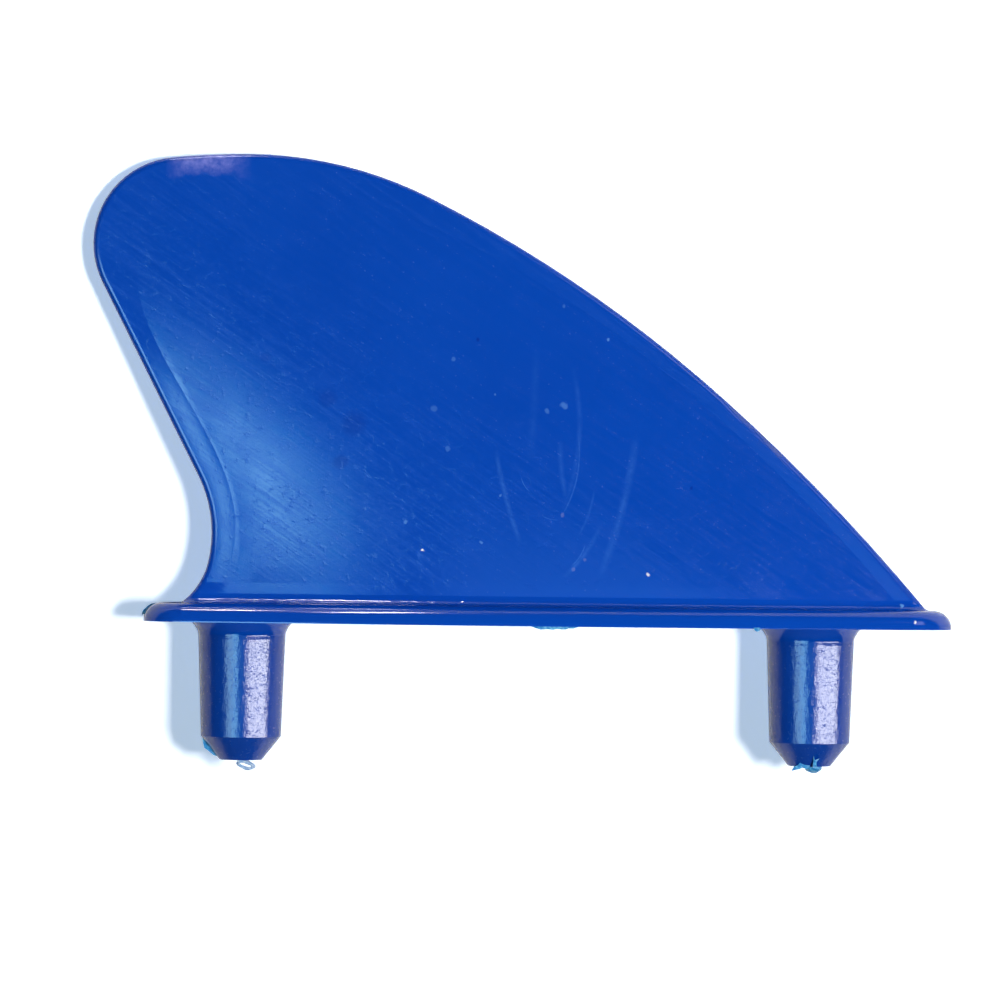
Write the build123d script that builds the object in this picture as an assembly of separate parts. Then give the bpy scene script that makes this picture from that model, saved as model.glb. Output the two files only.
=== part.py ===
from build123d import *
import math
import os

# A small paddleboard fin, moulded in one piece of plastic: a raked blade, a foot flange that
# lies against the board, and two tapered pegs that push into the board's plugs.
# Lengths are in millimetres, angles in degrees. The origin is on the flange's flat underside,
# half-way between the pegs. +X points to the leading edge's foot, +Z to the tip of the blade.

# Pegs
peg_spacing = 80.0
peg_root_diameter = 12.4
peg_length = 19.4
peg_draft = 2.0             # taper of each side, so that it leaves the mould
peg_flare = 1.0             # the peg widens by this much on each side where it meets the flange
peg_flare_height = 1.9
peg_lead_height = 3.3       # conical end that finds the plug
peg_end_diameter = 6.0

# Foot flange
flange_front_overhang = 19.7    # beyond the front peg's axis
flange_rear_overhang = 13.8     # beyond the rear peg's axis
flange_side_land = 4.8          # beside a peg's root, where the flange is widest
flange_end_narrowing = 8.0      # both ends are this much narrower than the middle
flange_end_flat = 1.2           # short straight piece left at each blunt end
flange_thickness = 2.6
flange_edge_land = 0.15         # the upper edge is rounded down to this upright strip

# Side outline of the blade, seen along Y
blade_height = 65.8         # from the flange's underside to the crown, the highest point
crown_front_radius = 57.0   # leading edge: two arcs down from the crown, then one to the toe
crown_front_sweep = 26.2
brow_radius = 190.0
brow_sweep = 15.2
crown_back_radius = 104.0   # behind the crown: a flat arc, then the round tip
crown_back_sweep = 6.2
tip_radius = 12.2
trailing_rake = 27.0        # the straight trailing edge, off the vertical
trailing_undercut = 11.3    # carried on down, it would meet the flange this far inside the heel
hook_height = 20.4          # here the straight ends and the hook begins
hook_radius = 17.8
hook_sweep = 40.0
toe_land = 0.95             # flat left on the flange in front of the leading edge
heel_land = 2.75            # and behind the trailing edge

# Blade: a thin flat rim with rounded edges all round, and a foil that swells out of it
rim_thickness = 2.0
rim_edge_flat = 0.3         # strip left in the middle of the rounded edges
root_fillet = 1.4           # between the blade and the flange
foil_thickness = 6.0        # thickest place of the foil, at the flange
foil_inset = 0.4            # the foil ends this far inside the rim's flat sides
foil_sink = 0.03            # and its ends lie this deep under their surface
foil_run_out = 7.0          # length over which it flattens out into the rim
foil_levels = (0, 0.18, 0.45, 0.72, 0.95)   # heights of its sections, as shares of the blade
foil_fade = 1.5             # how it thins towards the top: 1 keeps it thick for longer
thickest_share = 0.36       # of the chord, behind the leading edge
bevel_fullness = 2.7        # how late a section thins towards the back: 1 is a straight taper

# Sizes that follow from those above
front_end = peg_spacing / 2 + flange_front_overhang
rear_end = -peg_spacing / 2 - flange_rear_overhang
flange_width = peg_root_diameter + 2 * flange_side_land
flange_edge_round = flange_thickness - flange_edge_land
rim_edge_round = (rim_thickness - rim_edge_flat) / 2
buried_level = flange_thickness / 2         # blade and pegs begin inside the flange


def tail(arc):
    # Straight on from the arc's end, down to the level inside the flange
    return Line(arc @ 1, arc @ 1 + arc % 1 * (buried_level - (arc @ 1).Y) / (arc % 1).Y)


def tip_arcs(crown):
    # Behind the crown: a flat arc, then the round tip, which ends in line with the trailing edge
    back = JernArc(crown, (-1, 0), crown_back_radius, crown_back_sweep)
    return back, JernArc(back @ 1, back % 1, tip_radius, 90 + trailing_rake - crown_back_sweep)


def side_outline():
    toe = (front_end - flange_edge_round - toe_land, flange_thickness)
    heel = (rear_end + flange_edge_round + heel_land, flange_thickness)
    slope = math.tan(math.radians(trailing_rake))
    trial_end = tip_arcs((0, blade_height))[1] @ 1
    trailing_x = heel[0] + trailing_undercut - (trial_end.Y - flange_thickness) * slope
    crown = (trailing_x - trial_end.X, blade_height)
    with BuildSketch(Plane.XZ) as outline:
        with BuildLine():
            front = JernArc(crown, (1, 0), crown_front_radius, -crown_front_sweep)
            brow = JernArc(front @ 1, front % 1, brow_radius, -brow_sweep)
            shin = TangentArc(brow @ 1, toe, tangent=brow % 1)
            toe_tail = tail(shin)

            tip = tip_arcs(crown)[1]
            drop = (tip @ 1).Y - hook_height
            straight = Line(tip @ 1, (tip @ 1) + (drop * slope, -drop))
            hook = JernArc(straight @ 1, straight % 1, hook_radius, -hook_sweep)
            flare = TangentArc(hook @ 1, heel, tangent=hook % 1)
            heel_tail = tail(flare)

            Line(heel_tail @ 1, toe_tail @ 1)
        make_face()
    return outline.sketch


def rim(outline):
    plate = extrude(outline, rim_thickness / 2, both=True)
    sides = plate.faces().filter_by(Axis.Y)
    level = buried_level + 0.01
    edges = [edge for edge in sides.edges() if edge.bounding_box().max.Z > level]
    return fillet(edges, rim_edge_round)


def chord_at(side, height):
    # Rear and front end of the rim's flat side at this height
    reach = 4 * blade_height
    level = Plane.XZ.offset(rim_thickness / 2) * Line((-reach, height), (reach, height))
    span = (side & level).bounding_box()
    return span.min.X, span.max.X


def foil_section(height, aft, fore, rise):
    # A closed section at one height: blunt hidden ends, and each side starts and ends level
    end = rim_thickness / 2 - foil_sink
    thickest = fore - thickest_share * (fore - aft)
    front_slope = 2 * rise / (fore - thickest)
    rear_length = thickest - aft - foil_run_out
    rear_slope = bevel_fullness * rise / (rear_length + bevel_fullness * foil_run_out / 2)
    half_run = foil_run_out / 2
    points = [
        (fore, end),
        (fore - foil_run_out, end + half_run * front_slope),
        (thickest, end + rise),
        (aft + foil_run_out, end + half_run * rear_slope),
        (aft, end),
    ]
    slopes = (0, front_slope, 0, -rear_slope, 0)
    with BuildSketch(Plane.XY.offset(height)) as section:
        with BuildLine():
            side = Spline(points, tangents=[(-1, slope) for slope in slopes])
            Line(side @ 1, (aft, 0))
            Line(side @ 0, (fore, 0))
            mirror(about=Plane.XZ)
        make_face()
    return section.sketch


def foil(plate):
    # It rises above the rim plate most at the root, and fades out towards the crown
    flat_side = plate.faces().filter_by(Axis.Y).sort_by(Axis.Y)[0]
    root_rise = (foil_thickness - rim_thickness) / 2 + foil_sink
    sections = []
    for level in foil_levels:
        height = flange_thickness + level * (blade_height - flange_thickness)
        aft, fore = chord_at(flat_side, height)
        rise = root_rise * math.cos(math.pi / 2 * level / foil_levels[-1])**foil_fade
        sections.append(foil_section(height, aft + foil_inset, fore - foil_inset, rise))
    return loft(sections)


def flange():
    # A flat plate with bowed sides and blunt ends
    side = flange_width / 2
    end = side - flange_end_narrowing / 2
    middle = (front_end + rear_end) / 2
    with BuildSketch() as plan:
        with BuildLine():
            port = ThreePointArc((rear_end, end), (middle, side), (front_end, end))
            starboard = ThreePointArc((rear_end, -end), (middle, -side), (front_end, -end))
            Line(port @ 0, starboard @ 0)
            Line(port @ 1, starboard @ 1)
        make_face()
        fillet(plan.vertices(), end - flange_end_flat / 2)
    plate = extrude(plan.sketch, flange_thickness)
    upper_edges = plate.faces().sort_by(Axis.Z)[-1].edges()
    return fillet(upper_edges, flange_edge_round)


def peg():
    # Turned about its axis, which is Z here
    def shank(height):
        return (peg_root_diameter / 2 + height * math.tan(math.radians(peg_draft)), height)

    foot = shank(0)[0] + peg_flare
    lead_top = peg_lead_height - peg_length
    with BuildSketch(Plane.XZ) as half:
        with BuildLine():
            flare = Bezier((foot, 0), shank(-peg_flare), shank(-peg_flare_height))
            Polyline(flare @ 1, shank(lead_top), (peg_end_diameter / 2, -peg_length), (0, -peg_length))
            Polyline((0, -peg_length), (0, buried_level), (foot, buried_level), flare @ 0)
        make_face()
    return revolve(half.sketch, Axis.Z)


def root_edges(body):
    # Where the blade stands on the flange's upper face
    ground = body.faces().filter_by(Axis.Z).filter_by_position(
        Axis.Z, flange_thickness - 0.01, flange_thickness + 0.01
    )
    return ground.sort_by(SortBy.AREA)[-1].inner_wires()[0].edges()


def fin():
    plate = rim(side_outline())
    body = flange() + plate + foil(plate)
    body = fillet(root_edges(body), root_fillet)
    for side in (-1, 1):
        body += Pos(side * peg_spacing / 2, 0, 0) * peg()
    return body


os.makedirs("parts", exist_ok=True)
export_step(fin(), "parts/fin.step")
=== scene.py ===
import math
import bmesh
import bpy
from mathutils import Matrix, Vector, noise


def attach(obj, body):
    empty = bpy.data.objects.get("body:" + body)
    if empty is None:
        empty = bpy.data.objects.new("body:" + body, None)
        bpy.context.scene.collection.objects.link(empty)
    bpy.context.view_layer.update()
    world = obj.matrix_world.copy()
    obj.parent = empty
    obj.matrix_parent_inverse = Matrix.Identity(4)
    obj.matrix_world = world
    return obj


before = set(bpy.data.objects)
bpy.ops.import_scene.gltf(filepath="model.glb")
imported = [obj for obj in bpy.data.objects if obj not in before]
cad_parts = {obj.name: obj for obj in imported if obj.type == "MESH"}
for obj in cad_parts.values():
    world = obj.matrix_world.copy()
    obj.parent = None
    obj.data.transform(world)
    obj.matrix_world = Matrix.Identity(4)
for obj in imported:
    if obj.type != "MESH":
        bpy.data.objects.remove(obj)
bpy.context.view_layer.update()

mm = 0.001
print("frame loaded:", sorted(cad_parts))

# camera as in the photograph: level, looking along +Y, the fin turned a little clockwise in the picture
shot = {
    "pixelsPerMm": 7.106,
    "originPixel": (526.35, 624.7),  # where the row's origin shows
    "imageSize": 1000,
    "rollDegrees": 0.646,
    "distance": 800,  # mm from the blade's middle plane
    "sensor": 36,  # mm
    "clip": (0.05, 20),  # m
}


def linear(hexColor):
    # sRGB hex to linear RGBA
    parts = [int(hexColor[i:i + 2], 16) / 255 for i in (1, 3, 5)]
    return [c / 12.92 if c <= 0.04045 else ((c + 0.055) / 1.055) ** 2.4 for c in parts] + [1.0]


def addNode(tree, kind, settings=None, links=None, out=0):
    # one node with its settings (property names, socket names or socket numbers) and its links; gives one output
    node = tree.nodes.new(kind)
    for key, value in (settings or {}).items():
        if isinstance(key, str) and hasattr(node, key):
            setattr(node, key, value)
        else:
            node.inputs[key].default_value = value
    for key, source in (links or {}).items():
        tree.links.new(source, node.inputs[key])
    return node.outputs[out] if len(node.outputs) else None


def newMaterial(name):
    material = bpy.data.materials.new(name)
    material.use_nodes = True
    material.node_tree.nodes.clear()
    return material, material.node_tree


def atPixel(px, py):
    # the spot (x, z) in mm on the fin's middle plane that shows at this pixel of the picture
    roll = math.radians(shot["rollDegrees"])
    across = (px - shot["originPixel"][0]) / shot["pixelsPerMm"]
    up = (shot["originPixel"][1] - py) / shot["pixelsPerMm"]
    return across * math.cos(roll) - up * math.sin(roll), across * math.sin(roll) + up * math.cos(roll)


# the fin: blue nylon, smooth and glossy on flange and pegs, rubbed to a satin on the blade
finLook = {
    "blue": "#0047b2",
    "deepBlue": "#0040a8",
    # painted shade: the pegs get a darker blue, since they hang under the flange and get less light
    "pegShadeBlue": "#003b98",
    "refraction": 1.53,
    # heights in mm above the flange's underside, from where a region begins to where it is full
    "regions": {
        "blade": (3.4, 4.2),
        "rubbed": (4.1, 5.5),
        "pegShade": (0.0, -2.0),
        "peg": (-1.2, -2.4),
    },
    "nearSide": (-0.3, 0.0),  # mm along Y, where the near side's marks fade out
    # even patterns, with their scale per mm: clouds in the blue, a grain of about 1 mm, smears from handling
    # a few mm across, dull specks, and shallow waves where the pegs sank a little as they cooled
    "patterns": {
        "cloud": {"Scale": 0.045, "Detail": 3, "Roughness": 0.55},
        "grain": {"Scale": 0.9, "Detail": 5, "Roughness": 0.6},
        "smear": {"Scale": 0.24, "Detail": 5, "Roughness": 0.6, "Distortion": 0.6},
        "specks": {"Scale": 2.0, "Detail": 5, "Roughness": 0.65},
        "sink": {"Scale": 0.95, "Detail": 3, "Roughness": 0.55},
    },
    # drawn-out patterns: size in mm along x, y and z, and the degrees that they fall towards the front;
    # rub lines on the blade, and upright lines that the mould left on the pegs
    "lines": {
        "rub": dict(size=(12.0, 2, 0.24), fall=34, noise={"Scale": 1.0, "Detail": 4, "Roughness": 0.6}),
        "draw": dict(size=(0.4, 0.4, 2.2), fall=0, noise={"Scale": 1.0, "Detail": 4, "Roughness": 0.65}),
    },
    # roughness of the bare skin, and how much the patterns add
    "bladeRoughness": 0.03,
    "flangeRoughness": 0.09,
    "pegRoughness": 0.06,
    "rubDull": 0.09,
    "smearDull": 0.14,
    "specksDull": 0.10,
    "drawDull": 0.12,
    "pegSpecksDull": 0.20,
    "rubRange": (0.42, 0.56),  # values of the pattern, from fully dull to clear
    "specksRange": (0.34, 0.46),
    # relief: depth in mm, and how strongly each pattern takes part
    "lineDepth": 0.012,
    "rubShare": 0.5,
    "drawShare": 2.6,
    "sinkShare": 6.0,
    "pitDepth": 0.008,
    "pitRange": (0.30, 0.42),  # values of the grain, from the floor of a pit to the skin
}

# behind, the blade is rounded off towards its edge, which carries the sheen on to it; mm and degrees
edgeLook = {
    "hookStart": (-46.4, 20.4),
    "rake": 27,
    "hookRadius": 17.8,
    "band": (0.3, 4.2),
    "slope": 0.042,
    "fadeOut": (30, 40),  # height
}

# marks on the near side: pixel of start and end, how far it bows to its right, width and strength
scratchLook = {
    "color": "#4a8ae0",
    "endFade": 0.16,
    "broken": (0.35, 0.62),  # values of the grain, from faint to full
    "faint": 0.35,
    "lines": [
        ((496, 450), (521, 545), -2.5, 6.5, 0.24),
        ((572, 365), (562, 512), 12.0, 7.0, 0.13),
        ((577, 430), (559, 520), 9.0, 2.4, 0.36),
        ((560, 440), (567, 502), -2.0, 7.0, 0.15),
        ((536, 347), (530, 462), 1.0, 10.0, 0.07),
        ((636, 434), (599, 578), 5.0, 10.0, 0.22),
        ((594, 490), (578, 536), 2.5, 3.5, 0.18),
        ((585, 544), (571, 566), 2.0, 2.0, 0.36),
        ((601, 524), (562, 578), 4.0, 6.0, 0.20),
        ((521, 477), (530, 492), -1.5, 1.4, 0.40),
        ((542, 516), (558, 520), -1.0, 1.4, 0.28),
    ],
}

# round marks: pixel, radius in pixels and strength
speckLook = {
    "stainColor": "#002f94",
    "stains": [
        ((354, 424), 14, 0.42), ((341, 462), 8, 0.50), ((328, 398), 10, 0.35), ((478, 340), 2.0, 0.8),
        ((691, 489), 2.0, 0.8), ((266, 357), 6.0, 0.3),
    ],
    "paleColor": "#5f98dc",
    "pale": [
        ((564, 406), 3.8, 0.40), ((547, 411), 2.8, 0.32), ((608, 340), 1.6, 0.60), ((454, 359), 2.8, 0.28),
        ((434, 409), 3.6, 0.24), ((447, 449), 3.0, 0.26), ((495, 395), 1.6, 0.40), ((564, 306), 2.2, 0.26),
        ((406, 522), 2.0, 0.50), ((901, 606), 2.0, 0.90), ((481, 542), 1.6, 0.50), ((500, 496), 1.5, 0.40),
    ],
    "dustColor": "#f4f0ea",
    "dust": [
        ((423, 550), 1.5, 1.0), ((647, 574), 1.8, 0.80), ((563, 515), 2.6, 0.07), ((585, 560), 2.2, 0.07),
        ((573, 570), 2.4, 0.07), ((911, 621), 1.8, 0.85),
    ],
    "softEdge": (0.55, 1.1),  # shares of the radius between which a mark fades out
    "wander": 0.9,  # mm that its outline strays
    "wanderNoise": {"Scale": 0.8, "Detail": 3},
}

# painted highlight along the crown, above the tip, where the edge turns up to the lamps; its edges are in mm from
# "from" or "to"
crownGlareLook = {
    "from": (166, 176),
    "to": (246, 150),
    "color": "#8c90dc",
    "lowerEdge": (2.2, 4.6),
    "ragged": 5.0,  # mm that the smears shift the lower edge
    "rearEdge": (0.0, 3.0),
    "frontEdge": (-4.0, 1.0),
    "brokenUp": (0.38, 0.66),  # values of the grain, from faint to full strength
    "faint": 0.25,
    "strength": 0.75,
}


def arcMark(tree, flat, start, end, bow, width):
    # 1 on a thin arc from start to end that fades out at both ends; pixels, bow to the right of start to end
    a, b = Vector(atPixel(*start)), Vector(atPixel(*end))
    along = b - a
    unit = along.normalized()
    scale = shot["pixelsPerMm"]
    lengthwise = {"operation": "DOT_PRODUCT", 1: (unit.x / along.length, 0, unit.y / along.length)}
    crosswise = {"operation": "DOT_PRODUCT", 1: (-unit.y, 0, unit.x)}
    rel = addNode(tree, "ShaderNodeVectorMath", {"operation": "SUBTRACT", 1: (a.x, 0, a.y)}, {0: flat})
    share = addNode(tree, "ShaderNodeVectorMath", lengthwise, {0: rel}, "Value")
    aside = addNode(tree, "ShaderNodeVectorMath", crosswise, {0: rel}, "Value")
    left = addNode(tree, "ShaderNodeMath", {"operation": "SUBTRACT", 0: 1.0}, {1: share})
    hump = addNode(tree, "ShaderNodeMath", {"operation": "MULTIPLY"}, {0: share, 1: left})
    off = addNode(tree, "ShaderNodeMath", {"operation": "MULTIPLY_ADD", 1: -4 * bow / scale}, {0: hump, 2: aside})
    gap = addNode(tree, "ShaderNodeMath", {"operation": "ABSOLUTE"}, {0: off})
    line = addNode(tree, "ShaderNodeMapRange", {1: 0.0, 2: width / 2 / scale, 3: 1.0, 4: 0.0}, {0: gap})
    return addNode(tree, "ShaderNodeMapRange", {1: 0.0, 2: scratchLook["endFade"], 3: 0.0}, {0: hump, 4: line})


def spotMark(tree, flat, centre, radius):
    # 1 inside a small disc with a soft edge; pixels
    x, z = atPixel(*centre)
    far = addNode(tree, "ShaderNodeVectorMath", {"operation": "DISTANCE", 1: (x, 0, z)}, {0: flat}, "Value")
    reach = radius / shot["pixelsPerMm"]
    inner, outer = speckLook["softEdge"]
    return addNode(tree, "ShaderNodeMapRange", {1: inner * reach, 2: outer * reach, 3: 1.0, 4: 0.0}, {0: far})


def strongest(tree, masks):
    # the largest of several masks, each first weakened by its strength
    total = None
    for mask, strength in masks:
        weak = addNode(tree, "ShaderNodeMath", {"operation": "MULTIPLY", 1: strength}, {0: mask})
        if total is None:
            total = weak
        else:
            total = addNode(tree, "ShaderNodeMath", {"operation": "MAXIMUM"}, {0: weak, 1: total})
    return total


def together(tree, first, *others):
    # where all of several masks are
    total = first
    for mask in others:
        total = addNode(tree, "ShaderNodeMath", {"operation": "MULTIPLY"}, {0: total, 1: mask})
    return total


def withAdded(tree, base, *parts):
    # a base value, and on top of it each pattern times its weight
    total = base
    for weight, mask in parts:
        total = addNode(tree, "ShaderNodeMath", {"operation": "MULTIPLY_ADD", 1: weight}, {0: mask, 2: total})
    return total


def edgeDistance(tree, flat):
    # mm inside the trailing edge: from the straight, and below it from the hook's arc
    x, z = edgeLook["hookStart"]
    sine, cosine = math.sin(math.radians(edgeLook["rake"])), math.cos(math.radians(edgeLook["rake"]))
    radius = edgeLook["hookRadius"]
    inward = {"operation": "DOT_PRODUCT", 1: (cosine, 0, sine)}
    downward = {"operation": "DOT_PRODUCT", 1: (sine, 0, -cosine)}
    fromCentre = {"operation": "DISTANCE", 1: (-radius * cosine, 0, -radius * sine)}
    rel = addNode(tree, "ShaderNodeVectorMath", {"operation": "SUBTRACT", 1: (x, 0, z)}, {0: flat})
    aside = addNode(tree, "ShaderNodeVectorMath", inward, {0: rel}, "Value")
    below = addNode(tree, "ShaderNodeVectorMath", downward, {0: rel}, "Value")
    far = addNode(tree, "ShaderNodeVectorMath", fromCentre, {0: rel}, "Value")
    arc = addNode(tree, "ShaderNodeMath", {"operation": "SUBTRACT", 1: radius}, {0: far})
    onArc = addNode(tree, "ShaderNodeMath", {"operation": "GREATER_THAN", 1: 0.0}, {0: below})
    return addNode(tree, "ShaderNodeMix", {"data_type": "FLOAT"}, {0: onArc, 2: aside, 3: arc})


def skinPatterns(tree, inMm):
    pattern = {name: addNode(tree, "ShaderNodeTexNoise", settings, {"Vector": inMm})
               for name, settings in finLook["patterns"].items()}
    for name, look in finLook["lines"].items():
        turn = (0, math.radians(look["fall"]), 0)
        spread = {"vector_type": "TEXTURE", "Rotation": turn, "Scale": look["size"]}
        drawnOut = addNode(tree, "ShaderNodeMapping", spread, {"Vector": inMm})
        pattern[name] = addNode(tree, "ShaderNodeTexNoise", look["noise"], {"Vector": drawnOut})
    return pattern


def paintedGlareMask(tree, x, z, pattern):
    # the painted highlight fades away from the crown and to both sides, and is broken up by the grain
    x0, z0 = atPixel(*crownGlareLook["from"])
    x1, z1 = atPixel(*crownGlareLook["to"])
    rugged = withAdded(tree, z, (crownGlareLook["ragged"], pattern["smear"]))
    none, full = crownGlareLook["lowerEdge"]
    rise = addNode(tree, "ShaderNodeMapRange", {1: z0 + none, 2: z0 + full}, {0: rugged})
    none, full = crownGlareLook["rearEdge"]
    begin = addNode(tree, "ShaderNodeMapRange", {1: x0 + none, 2: x0 + full}, {0: x})
    full, none = crownGlareLook["frontEdge"]
    finish = addNode(tree, "ShaderNodeMapRange", {1: x1 + full, 2: x1 + none, 3: 1.0, 4: 0.0}, {0: x})
    low, high = crownGlareLook["brokenUp"]
    brokenUp = {1: low, 2: high, 3: crownGlareLook["faint"], 4: crownGlareLook["strength"]}
    brokenUp = addNode(tree, "ShaderNodeMapRange", brokenUp, {0: pattern["grain"]})
    return together(tree, rise, begin, finish, brokenUp)


def nearMarksAndGlare(tree, inMm, flat, x, z, pattern):
    # colours and masks of the near side's marks and of the painted highlight on the crown, from the lowest to the
    # topmost
    wander = speckLook["wander"]
    warp = addNode(tree, "ShaderNodeTexNoise", speckLook["wanderNoise"], {"Vector": inMm}, "Color")
    uneven = {"operation": "MULTIPLY_ADD", 1: (wander, 0, wander), 2: (-wander / 2, 0, -wander / 2)}
    uneven = addNode(tree, "ShaderNodeVectorMath", uneven, {0: warp})
    marked = addNode(tree, "ShaderNodeVectorMath", {"operation": "ADD"}, {0: flat, 1: uneven})
    spots = {kind: strongest(tree, [(spotMark(tree, marked, spot, radius), strength)
                                    for spot, radius, strength in speckLook[kind]])
             for kind in ("stains", "pale", "dust")}
    scratches = strongest(tree, [(arcMark(tree, flat, start, end, bow, width), strength)
                                 for start, end, bow, width, strength in scratchLook["lines"]])
    low, high = scratchLook["broken"]
    broken = {1: low, 2: high, 3: scratchLook["faint"], 4: 1.0}
    broken = addNode(tree, "ShaderNodeMapRange", broken, {0: pattern["grain"]})
    return [
        (speckLook["stainColor"], spots["stains"]),
        (scratchLook["color"], together(tree, scratches, broken)),
        (speckLook["paleColor"], spots["pale"]),
        (speckLook["dustColor"], spots["dust"]),
        # painted highlight: the pale lavender glare on the crown's edge
        (crownGlareLook["color"], paintedGlareMask(tree, x, z, pattern)),
    ]


def finRoughness(tree, region, pattern, drawOnPeg):
    # satin with rub lines, smears and specks on the blade; glossy on the flange, and on the pegs with a faint
    # draw and specks
    low, high = finLook["rubRange"]
    dull = addNode(tree, "ShaderNodeMapRange", {1: low, 2: high, 3: 1.0, 4: 0.0}, {0: pattern["rub"]})
    low, high = finLook["specksRange"]
    specks = addNode(tree, "ShaderNodeMapRange", {1: low, 2: high, 3: 1.0, 4: 0.0}, {0: pattern["specks"]})
    onBlade = {"operation": "MULTIPLY_ADD", 1: finLook["rubDull"], 2: finLook["bladeRoughness"]}
    onBlade = addNode(tree, "ShaderNodeMath", onBlade, {0: dull})
    onBlade = withAdded(tree, onBlade, (finLook["smearDull"], pattern["smear"]), (finLook["specksDull"], specks))
    glossy = {3: finLook["flangeRoughness"], 4: finLook["pegRoughness"]}
    glossy = addNode(tree, "ShaderNodeMapRange", glossy, {0: region["peg"]})
    specksOnPeg = together(tree, specks, region["peg"])
    glossy = withAdded(tree, glossy, (finLook["drawDull"], drawOnPeg), (finLook["pegSpecksDull"], specksOnPeg))
    return addNode(tree, "ShaderNodeMix", {"data_type": "FLOAT"}, {0: region["blade"], 2: glossy, 3: onBlade})


def finRelief(tree, flat, z, region, pattern, drawOnPeg):
    # rub lines on the blade and mould lines and waves on the pegs, then pits, then the rounding off at the edge
    waves = addNode(tree, "ShaderNodeMath", {"operation": "MULTIPLY", 1: finLook["sinkShare"]}, {0: pattern["sink"]})
    drawn = together(tree, withAdded(tree, waves, (finLook["drawShare"], drawOnPeg)), region["peg"])
    rubbed = addNode(tree, "ShaderNodeMath", {"operation": "MULTIPLY", 1: finLook["rubShare"]}, {0: pattern["rub"]})
    lines = addNode(tree, "ShaderNodeMix", {"data_type": "FLOAT"}, {0: region["rubbed"], 2: drawn, 3: rubbed})
    low, high = finLook["pitRange"]
    pits = addNode(tree, "ShaderNodeMapRange", {1: low, 2: high}, {0: pattern["grain"]})
    pits = together(tree, pits, region["rubbed"])
    inner, outer = edgeLook["band"]
    roundOff = {"interpolation_type": "SMOOTHSTEP", 1: inner, 2: outer, 3: -edgeLook["slope"] * (outer - inner), 4: 0.0}
    roundOff = addNode(tree, "ShaderNodeMapRange", roundOff, {0: edgeDistance(tree, flat)})
    low, high = edgeLook["fadeOut"]
    fading = addNode(tree, "ShaderNodeMapRange", {1: low, 2: high, 3: 1.0, 4: 0.0}, {0: z})
    roundOff = together(tree, roundOff, fading, region["rubbed"])
    links = {}
    for height, depth in ((lines, finLook["lineDepth"]), (pits, finLook["pitDepth"]), (roundOff, 1.0)):
        links["Height"] = height
        links["Normal"] = addNode(tree, "ShaderNodeBump", {"Strength": 1.0, "Distance": depth * mm}, links)
    return links["Normal"]


def finMaterial():
    # injection-moulded nylon: a deep cobalt whose skin, smooth from the mould, mirrors the lamps as bright lines
    # on flange and pegs; handling has dulled the blade, so its sheen is broad and drawn out along fine rub lines
    material, tree = newMaterial("mouldedBlueNylon")
    place = addNode(tree, "ShaderNodeTexCoord", out="Object")
    inMm = addNode(tree, "ShaderNodeMapping", {"Scale": (1 / mm, 1 / mm, 1 / mm)}, {"Vector": place})
    x, y, z = addNode(tree, "ShaderNodeSeparateXYZ", None, {0: inMm}).node.outputs
    flat = addNode(tree, "ShaderNodeVectorMath", {"operation": "MULTIPLY", 1: (1, 0, 1)}, {0: inMm})
    region = {name: addNode(tree, "ShaderNodeMapRange", {1: start, 2: full}, {0: z})
              for name, (start, full) in finLook["regions"].items()}
    full, gone = finLook["nearSide"]
    near = addNode(tree, "ShaderNodeMapRange", {1: full, 2: gone, 3: 1.0, 4: 0.0}, {0: y})
    pattern = skinPatterns(tree, inMm)
    drawOnPeg = together(tree, pattern["draw"], region["peg"])

    blues = {"data_type": "RGBA", 6: linear(finLook["deepBlue"]), 7: linear(finLook["blue"])}
    color = addNode(tree, "ShaderNodeMix", blues, {0: pattern["cloud"]}, 2)
    # painted shade: below the flange the pegs are coloured a darker blue
    layers = [(finLook["pegShadeBlue"], region["pegShade"])]
    layers += [(tint, together(tree, mask, near)) for tint, mask in nearMarksAndGlare(tree, inMm, flat, x, z, pattern)]
    for tint, mask in layers:
        color = addNode(tree, "ShaderNodeMix", {"data_type": "RGBA", 7: linear(tint)}, {0: mask, 6: color}, 2)

    shader = addNode(tree, "ShaderNodeBsdfPrincipled", {"IOR": finLook["refraction"]}, {
        "Base Color": color,
        "Roughness": finRoughness(tree, region, pattern, drawOnPeg),
        "Normal": finRelief(tree, flat, z, region, pattern, drawOnPeg),
    })
    addNode(tree, "ShaderNodeOutputMaterial", None, {"Surface": shader})
    return material


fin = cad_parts["fin"]
fin.data.materials[0] = finMaterial()
print("fin material done")


# thin bits of nylon that were torn off with the runners or squeezed out of the mould
flashLook = {
    "deep": "#0a7abc",
    "pale": "#6cc0e4",
    "patch": 0.5,  # mm
    "patchRange": (0.45, 0.7),  # values of the pattern, from deep to pale
    "roughness": 0.3,
    "clear": 0.1,
    "merge": 0.005,  # mm
    "noiseSeed": 7,
}


def flashMaterial(name, deep, pale):
    # torn nylon a few tenths of a mm thick: stretching has whitened it in patches and left it dull, and a little
    # light comes through
    material, tree = newMaterial(name)
    place = addNode(tree, "ShaderNodeTexCoord", out="Object")
    patchy = {"Scale": 1 / mm / flashLook["patch"], "Detail": 3}
    patches = addNode(tree, "ShaderNodeTexNoise", patchy, {"Vector": place})
    low, high = flashLook["patchRange"]
    mixed = addNode(tree, "ShaderNodeMapRange", {1: low, 2: high}, {0: patches})
    color = addNode(tree, "ShaderNodeMix", {"data_type": "RGBA", 6: linear(deep), 7: linear(pale)}, {0: mixed}, 2)
    skin = {"IOR": finLook["refraction"], "Roughness": flashLook["roughness"]}
    skin["Transmission Weight"] = flashLook["clear"]
    shader = addNode(tree, "ShaderNodeBsdfPrincipled", skin, {"Base Color": color})
    addNode(tree, "ShaderNodeOutputMaterial", None, {"Surface": shader})
    return material


torn = flashMaterial("tornNylonFlash", flashLook["deep"], flashLook["pale"])


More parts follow.
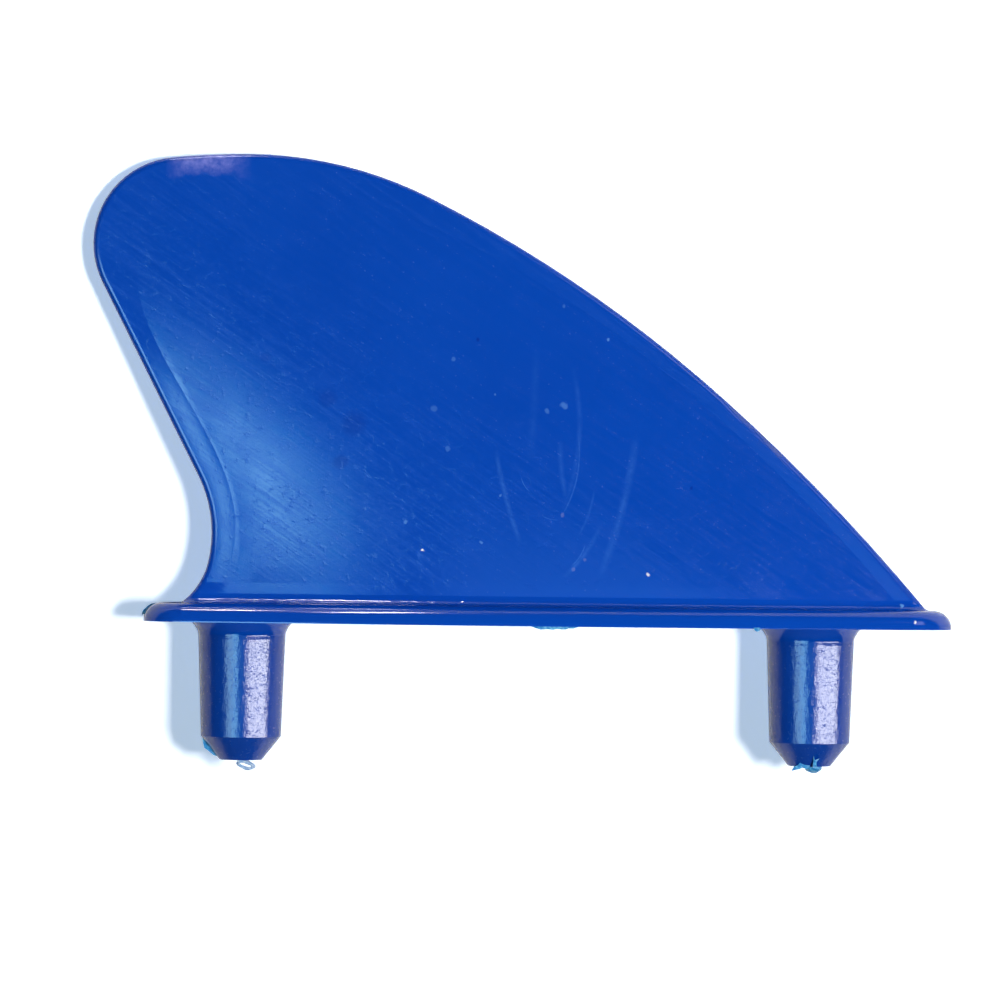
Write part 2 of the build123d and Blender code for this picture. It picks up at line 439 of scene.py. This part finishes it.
def finishPiece(bm, name, material=torn, smooth=True):
    # mesh to object, riding on the fin
    bmesh.ops.remove_doubles(bm, verts=bm.verts, dist=flashLook["merge"] * mm)
    bmesh.ops.recalc_face_normals(bm, faces=bm.faces)
    for face in bm.faces:
        face.smooth = smooth
    mesh = bpy.data.meshes.new(name)
    bm.to_mesh(mesh)
    bm.free()
    mesh.materials.append(material)
    piece = bpy.data.objects.new(name, mesh)
    bpy.context.collection.objects.link(piece)
    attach(piece, "root")


def ruffle(bm, size, reach, seed):
    # uneven, as torn plastic is: size of the waves and how far they reach, in mm
    noise.seed_set(flashLook["noiseSeed"])  # so that it comes out the same each time
    for vert in bm.verts:
        vert.co += noise.noise_vector(vert.co / (size * mm) + Vector((seed, 0, 0))) * reach * mm


def pullOut(bm, pulled, vec):
    # moves what an extrusion has just made
    moved = [item for item in pulled["geom"] if isinstance(item, bmesh.types.BMVert)]
    bmesh.ops.translate(bm, vec=vec, verts=moved)


shardWaves = 0.5  # mm


def shard(name, outline, depth, ragged, seed):
    # a flat torn bit: outline in picture pixels, near and far side in mm along Y
    nearY, farY = depth
    bm = bmesh.new()
    corners = [bm.verts.new((x * mm, nearY * mm, z * mm)) for x, z in (atPixel(*spot) for spot in outline)]
    pulled = bmesh.ops.extrude_face_region(bm, geom=[bm.faces.new(corners)])
    pullOut(bm, pulled, (0, (farY - nearY) * mm, 0))
    bmesh.ops.subdivide_edges(bm, edges=bm.edges, cuts=2, use_grid_fill=True)
    bmesh.ops.triangulate(bm, faces=bm.faces)
    ruffle(bm, shardWaves, ragged, seed)
    finishPiece(bm, name, smooth=False)


# left peg: a clear curl of plastic hangs from the middle of its end
curlLook = {
    "centre": (245.5, 764.6),
    "halfSize": (1.34, 0.66),  # mm
    "tilt": 16,  # degrees
    "wall": 0.44,
    "depth": 1.1,
    "ruffle": (1.2, 0.16, 3.0),  # size and reach in mm, and seed
    "deep": "#8fb4e0",
    "pale": "#d6e6f6",
}


def makeCurl():
    x, z = atPixel(*curlLook["centre"])
    wide, high = curlLook["halfSize"]
    bm = bmesh.new()
    bmesh.ops.create_circle(bm, segments=40, radius=1.0)
    bmesh.ops.scale(bm, vec=(wide * mm, high * mm, 1), verts=bm.verts)
    pullOut(bm, bmesh.ops.extrude_edge_only(bm, edges=bm.edges), (0, 0, curlLook["depth"] * mm))
    bmesh.ops.recalc_face_normals(bm, faces=bm.faces)
    bmesh.ops.solidify(bm, geom=bm.faces, thickness=curlLook["wall"] * mm)
    upright = Matrix.Rotation(math.radians(90), 4, "X")
    tilted = Matrix.Rotation(math.radians(curlLook["tilt"]), 4, "Y")
    place = Matrix.Translation((x * mm, curlLook["depth"] / 2 * mm, z * mm)) @ tilted @ upright
    bmesh.ops.transform(bm, matrix=place, verts=bm.verts)
    ruffle(bm, *curlLook["ruffle"])
    finishPiece(bm, "gateCurl", flashMaterial("clearNylonCurl", curlLook["deep"], curlLook["pale"]))


# right peg: the runner was torn off its end, which left a lump, a flap beside it and a thread that stands up
tearLook = {
    "lump": (812.5, 766.5),
    "lumpY": -1.3,  # mm
    "lumpSize": (1.25, 1.1, 0.82),  # mm, half
    "lumpRuffle": (0.6, 0.16, 11.0),  # size and reach in mm, and seed
    "shards": {
        "gateFlap": dict(depth=(-3.1, -2.0), ragged=0.14, seed=5.0, outline=[
            (791, 769.6), (793.5, 765.5), (797, 764.0), (800, 760.5), (804, 761.5), (807, 759.5), (809, 765.0),
            (806, 768.0), (801, 766.6), (797.5, 768.4)]),
        "gateThread0": dict(depth=(-4.4, -3.0), ragged=0.08, seed=8.0, outline=[
            (812.2, 754.6), (813.4, 758.8), (817.6, 757.4), (814.6, 761.0), (815.0, 766.0), (811.0, 766.4),
            (811.8, 760.0)]),
    },
}


def makeTear():
    x, z = atPixel(*tearLook["lump"])
    bm = bmesh.new()
    bmesh.ops.create_icosphere(bm, subdivisions=4, radius=1.0)
    bmesh.ops.scale(bm, vec=[side * mm for side in tearLook["lumpSize"]], verts=bm.verts)
    bmesh.ops.translate(bm, vec=(x * mm, tearLook["lumpY"] * mm, z * mm), verts=bm.verts)
    ruffle(bm, *tearLook["lumpRuffle"])
    finishPiece(bm, "gateLump")
    for name, look in tearLook["shards"].items():
        shard(name, **look)


# films squeezed out at the mould's parting line, on the left peg and at the heel, and torn bits under the flange
filmLook = {
    "pegFilm": dict(depth=(-0.5, 0.5), ragged=0.05, seed=20.0, outline=[
        (202.5, 735.5), (203.0, 742.0), (204.5, 747.5), (209.0, 751.0), (213.5, 755.0), (217.5, 756.5),
        (212.0, 746.0)]),
    "heelFilm": dict(depth=(-1.2, -0.6), ragged=0.04, seed=21.0, outline=[
        (142.0, 615.0), (143.4, 610.2), (147.6, 606.0), (151.4, 603.4), (158.0, 602.6), (154.0, 606.0),
        (148.0, 612.0)]),
    "flangeFlake": dict(depth=(-10.85, -9.6), ragged=0.06, seed=22.0, outline=[
        (528.5, 623.6), (534.0, 626.0), (540.0, 628.0), (546.5, 627.6), (552.0, 627.9), (558.0, 627.3),
        (565.0, 627.9), (567.5, 626.6), (572.5, 626.9), (577.0, 625.4), (577.0, 623.0), (528.5, 622.8)]),
    "flangeNib": dict(depth=(-10.2, -9.3), ragged=0.06, seed=23.0, outline=[
        (750.0, 626.6), (751.5, 629.0), (754.0, 630.0), (756.5, 629.0), (757.5, 627.5), (757.0, 626.0),
        (750.5, 626.0)]),
}


def makeFilms():
    for name, look in filmLook.items():
        shard(name, **look)


makeCurl()
makeTear()
makeFilms()
print("gate remnants done")


# white studio: a sheet right behind the fin takes its shadow, and a floor lies below
studio = {
    "sheetGap": 14.1,  # mm behind the origin
    "sheetLean": 8.8,  # degrees, nearer at the tip
    "sheetSize": (900, 900),
    "floorLevel": -620,
    "floorSize": (6000, 6000),
    "sheetColor": "#f2f4f6",
    "floorColor": "#6e7074",
    "shadowTint": "#cde7ff",
    "shadowLift": 0.63,
    "floorTint": "#ffffff",
    "floorLift": 1.0,
    "skyStrength": 0.05,
    "lampAim": (-5, 0, 15),  # mm, the spot that all the lamps face
}


def stageMaterial(name, color, tint, raised, oneSided):
    # matt card: its fibres scatter the light, so it shows no gloss and only takes a soft shadow; to the camera
    # it is lifted to a clean white
    material, tree = newMaterial(name)
    cameraRay = addNode(tree, "ShaderNodeLightPath", out="Is Camera Ray")
    card = addNode(tree, "ShaderNodeBsdfDiffuse", {"Color": linear(color)})
    seen = addNode(tree, "ShaderNodeMath", {"operation": "MULTIPLY", 1: raised}, {0: cameraRay})
    lift = addNode(tree, "ShaderNodeEmission", {"Color": linear(tint)}, {"Strength": seen})
    both = addNode(tree, "ShaderNodeAddShader", None, {0: card, 1: lift})
    if oneSided:
        side = addNode(tree, "ShaderNodeNewGeometry", out="Backfacing")
        clear = addNode(tree, "ShaderNodeBsdfTransparent")
        both = addNode(tree, "ShaderNodeMixShader", None, {0: side, 1: both, 2: clear})
    addNode(tree, "ShaderNodeOutputMaterial", None, {"Surface": both})
    return material


def planeObject(name, size, place, material):
    wide, deep = size
    bm = bmesh.new()
    bmesh.ops.create_grid(bm, x_segments=1, y_segments=1, size=0.5)
    bmesh.ops.scale(bm, vec=(wide * mm, deep * mm, 1), verts=bm.verts)
    bmesh.ops.transform(bm, matrix=place, verts=bm.verts)
    mesh = bpy.data.meshes.new(name)
    bm.to_mesh(mesh)
    bm.free()
    mesh.materials.append(material)
    thing = bpy.data.objects.new(name, mesh)
    bpy.context.collection.objects.link(thing)
    return thing


def makeStudio():
    lean = Matrix.Rotation(math.radians(90 + studio["sheetLean"]), 4, "X")
    behind = Matrix.Translation((0, studio["sheetGap"] * mm, 0)) @ lean
    card = stageMaterial("mattCard", studio["sheetColor"], studio["shadowTint"], studio["shadowLift"], True)
    sheet = planeObject("sheet", studio["sheetSize"], behind, card)
    sheet.visible_shadow = False  # the back lamp shines through it
    below = Matrix.Translation((0, 0, studio["floorLevel"] * mm))
    ground = stageMaterial("mattFloor", studio["floorColor"], studio["floorTint"], studio["floorLift"], False)
    floor = planeObject("floor", studio["floorSize"], below, ground)


def makeWorld():
    # white to the camera and through clear plastic, and faint as a light
    world = bpy.data.worlds.new("whiteRoom")
    bpy.context.scene.world = world
    world.use_nodes = True
    tree = world.node_tree
    tree.nodes.clear()
    rays = addNode(tree, "ShaderNodeLightPath").node.outputs
    clearRay = {0: rays["Is Camera Ray"], 1: rays["Is Transmission Ray"]}
    clearRay = addNode(tree, "ShaderNodeMath", {"operation": "MAXIMUM"}, clearRay)
    sky = addNode(tree, "ShaderNodeBackground", {"Color": (1, 1, 1, 1), "Strength": studio["skyStrength"]})
    white = addNode(tree, "ShaderNodeBackground", {"Color": (1, 1, 1, 1), "Strength": 1.0})
    mixed = addNode(tree, "ShaderNodeMixShader", None, {0: clearRay, 1: sky, 2: white})
    addNode(tree, "ShaderNodeOutputWorld", None, {"Surface": mixed})


# soft panels: edges as azimuth (right is positive) and elevation seen from the fin, distance in mm;
# mirrored=False only lights the scene, and lights=False is only mirrored in the fin's skin
lamps = {
    "key": dict(
        azimuth=(13.5, 18.5), elevation=(-4, 1), distance=900, radiance=400.0, color="#ffffff", mirrored=False),
    "rightPanel": dict(
        azimuth=(16, 78), elevation=(-12, -4), distance=900, radiance=17.0, color="#ffffff", lights=False),
    "leftPanel": dict(
        azimuth=(-42, -11), elevation=(-20, 0.4), distance=900, radiance=5.6, color="#b8f4ff", lights=False),
    "leftWash": dict(
        azimuth=(-24, -8.4), elevation=(-26, 2), distance=950, radiance=3.0, color="#40c6ff", lights=False),
    "frontWash": dict(
        azimuth=(-4, 14), elevation=(-12, 0.5), distance=930, radiance=1.6, color="#5cb0ff", lights=False),
    "topStrip": dict(
        azimuth=(-56, -49), elevation=(72, 76), distance=800, radiance=80.0, color="#ffffff", lights=False),
    "topPatch": dict(
        azimuth=(-29, -21), elevation=(69, 78), distance=800, radiance=60.0, color="#f2f0ff", lights=False),
    "brow": dict(
        azimuth=(28, 52), elevation=(24, 44), distance=900, radiance=3.0, color="#dcdcff"),
    "back": dict(
        azimuth=(168, 192), elevation=(0, 24), distance=900, radiance=6.5, color="#ffffff", mirrored=False),
}


def makeLamps():
    aim = Vector(studio["lampAim"]) * mm
    for name, lamp in lamps.items():
        azimuth, elevation = [math.radians(sum(lamp[key]) / 2) for key in ("azimuth", "elevation")]
        halfWide, halfHigh = [math.radians((lamp[key][1] - lamp[key][0]) / 2) for key in ("azimuth", "elevation")]
        level = math.cos(elevation)
        out = Vector((math.sin(azimuth) * level, -math.cos(azimuth) * level, math.sin(elevation)))
        light = bpy.data.lights.new(name, "AREA")
        light.shape = "RECTANGLE"
        light.size = 2 * lamp["distance"] * mm * math.tan(halfWide) * level
        light.size_y = 2 * lamp["distance"] * mm * math.tan(halfHigh)
        light.energy = lamp["radiance"] * math.pi * light.size * light.size_y
        light.color = linear(lamp["color"])[:3]
        thing = bpy.data.objects.new(name, light)
        bpy.context.collection.objects.link(thing)
        thing.location = aim + out * lamp["distance"] * mm
        thing.rotation_euler = out.to_track_quat("Z", "Y").to_euler()
        thing.visible_camera = False
        thing.visible_glossy = lamp.get("mirrored", True)
        thing.visible_diffuse = lamp.get("lights", True)


def makeCamera():
    roll = math.radians(shot["rollDegrees"])
    right = Vector((math.cos(roll), 0, math.sin(roll)))
    up = Vector((-math.sin(roll), 0, math.cos(roll)))
    forward = Vector((0, 1, 0))
    across, down = [(shot["imageSize"] / 2 - pixel) / shot["pixelsPerMm"] for pixel in shot["originPixel"]]
    centre = (right * across - up * down) * mm
    data = bpy.data.cameras.new("camera")
    data.sensor_width = shot["sensor"]
    data.lens = shot["sensor"] * shot["distance"] * shot["pixelsPerMm"] / shot["imageSize"]
    data.clip_start, data.clip_end = shot["clip"]
    camera = bpy.data.objects.new("camera", data)
    bpy.context.collection.objects.link(camera)
    turned = Matrix((right, up, -forward)).transposed()
    camera.matrix_world = Matrix.Translation(centre - forward * shot["distance"] * mm) @ turned.to_4x4()
    bpy.context.scene.camera = camera


makeStudio()
makeWorld()
makeLamps()
makeCamera()
bpy.context.scene.view_settings.view_transform = "Standard"
print("studio, lamps and camera done")
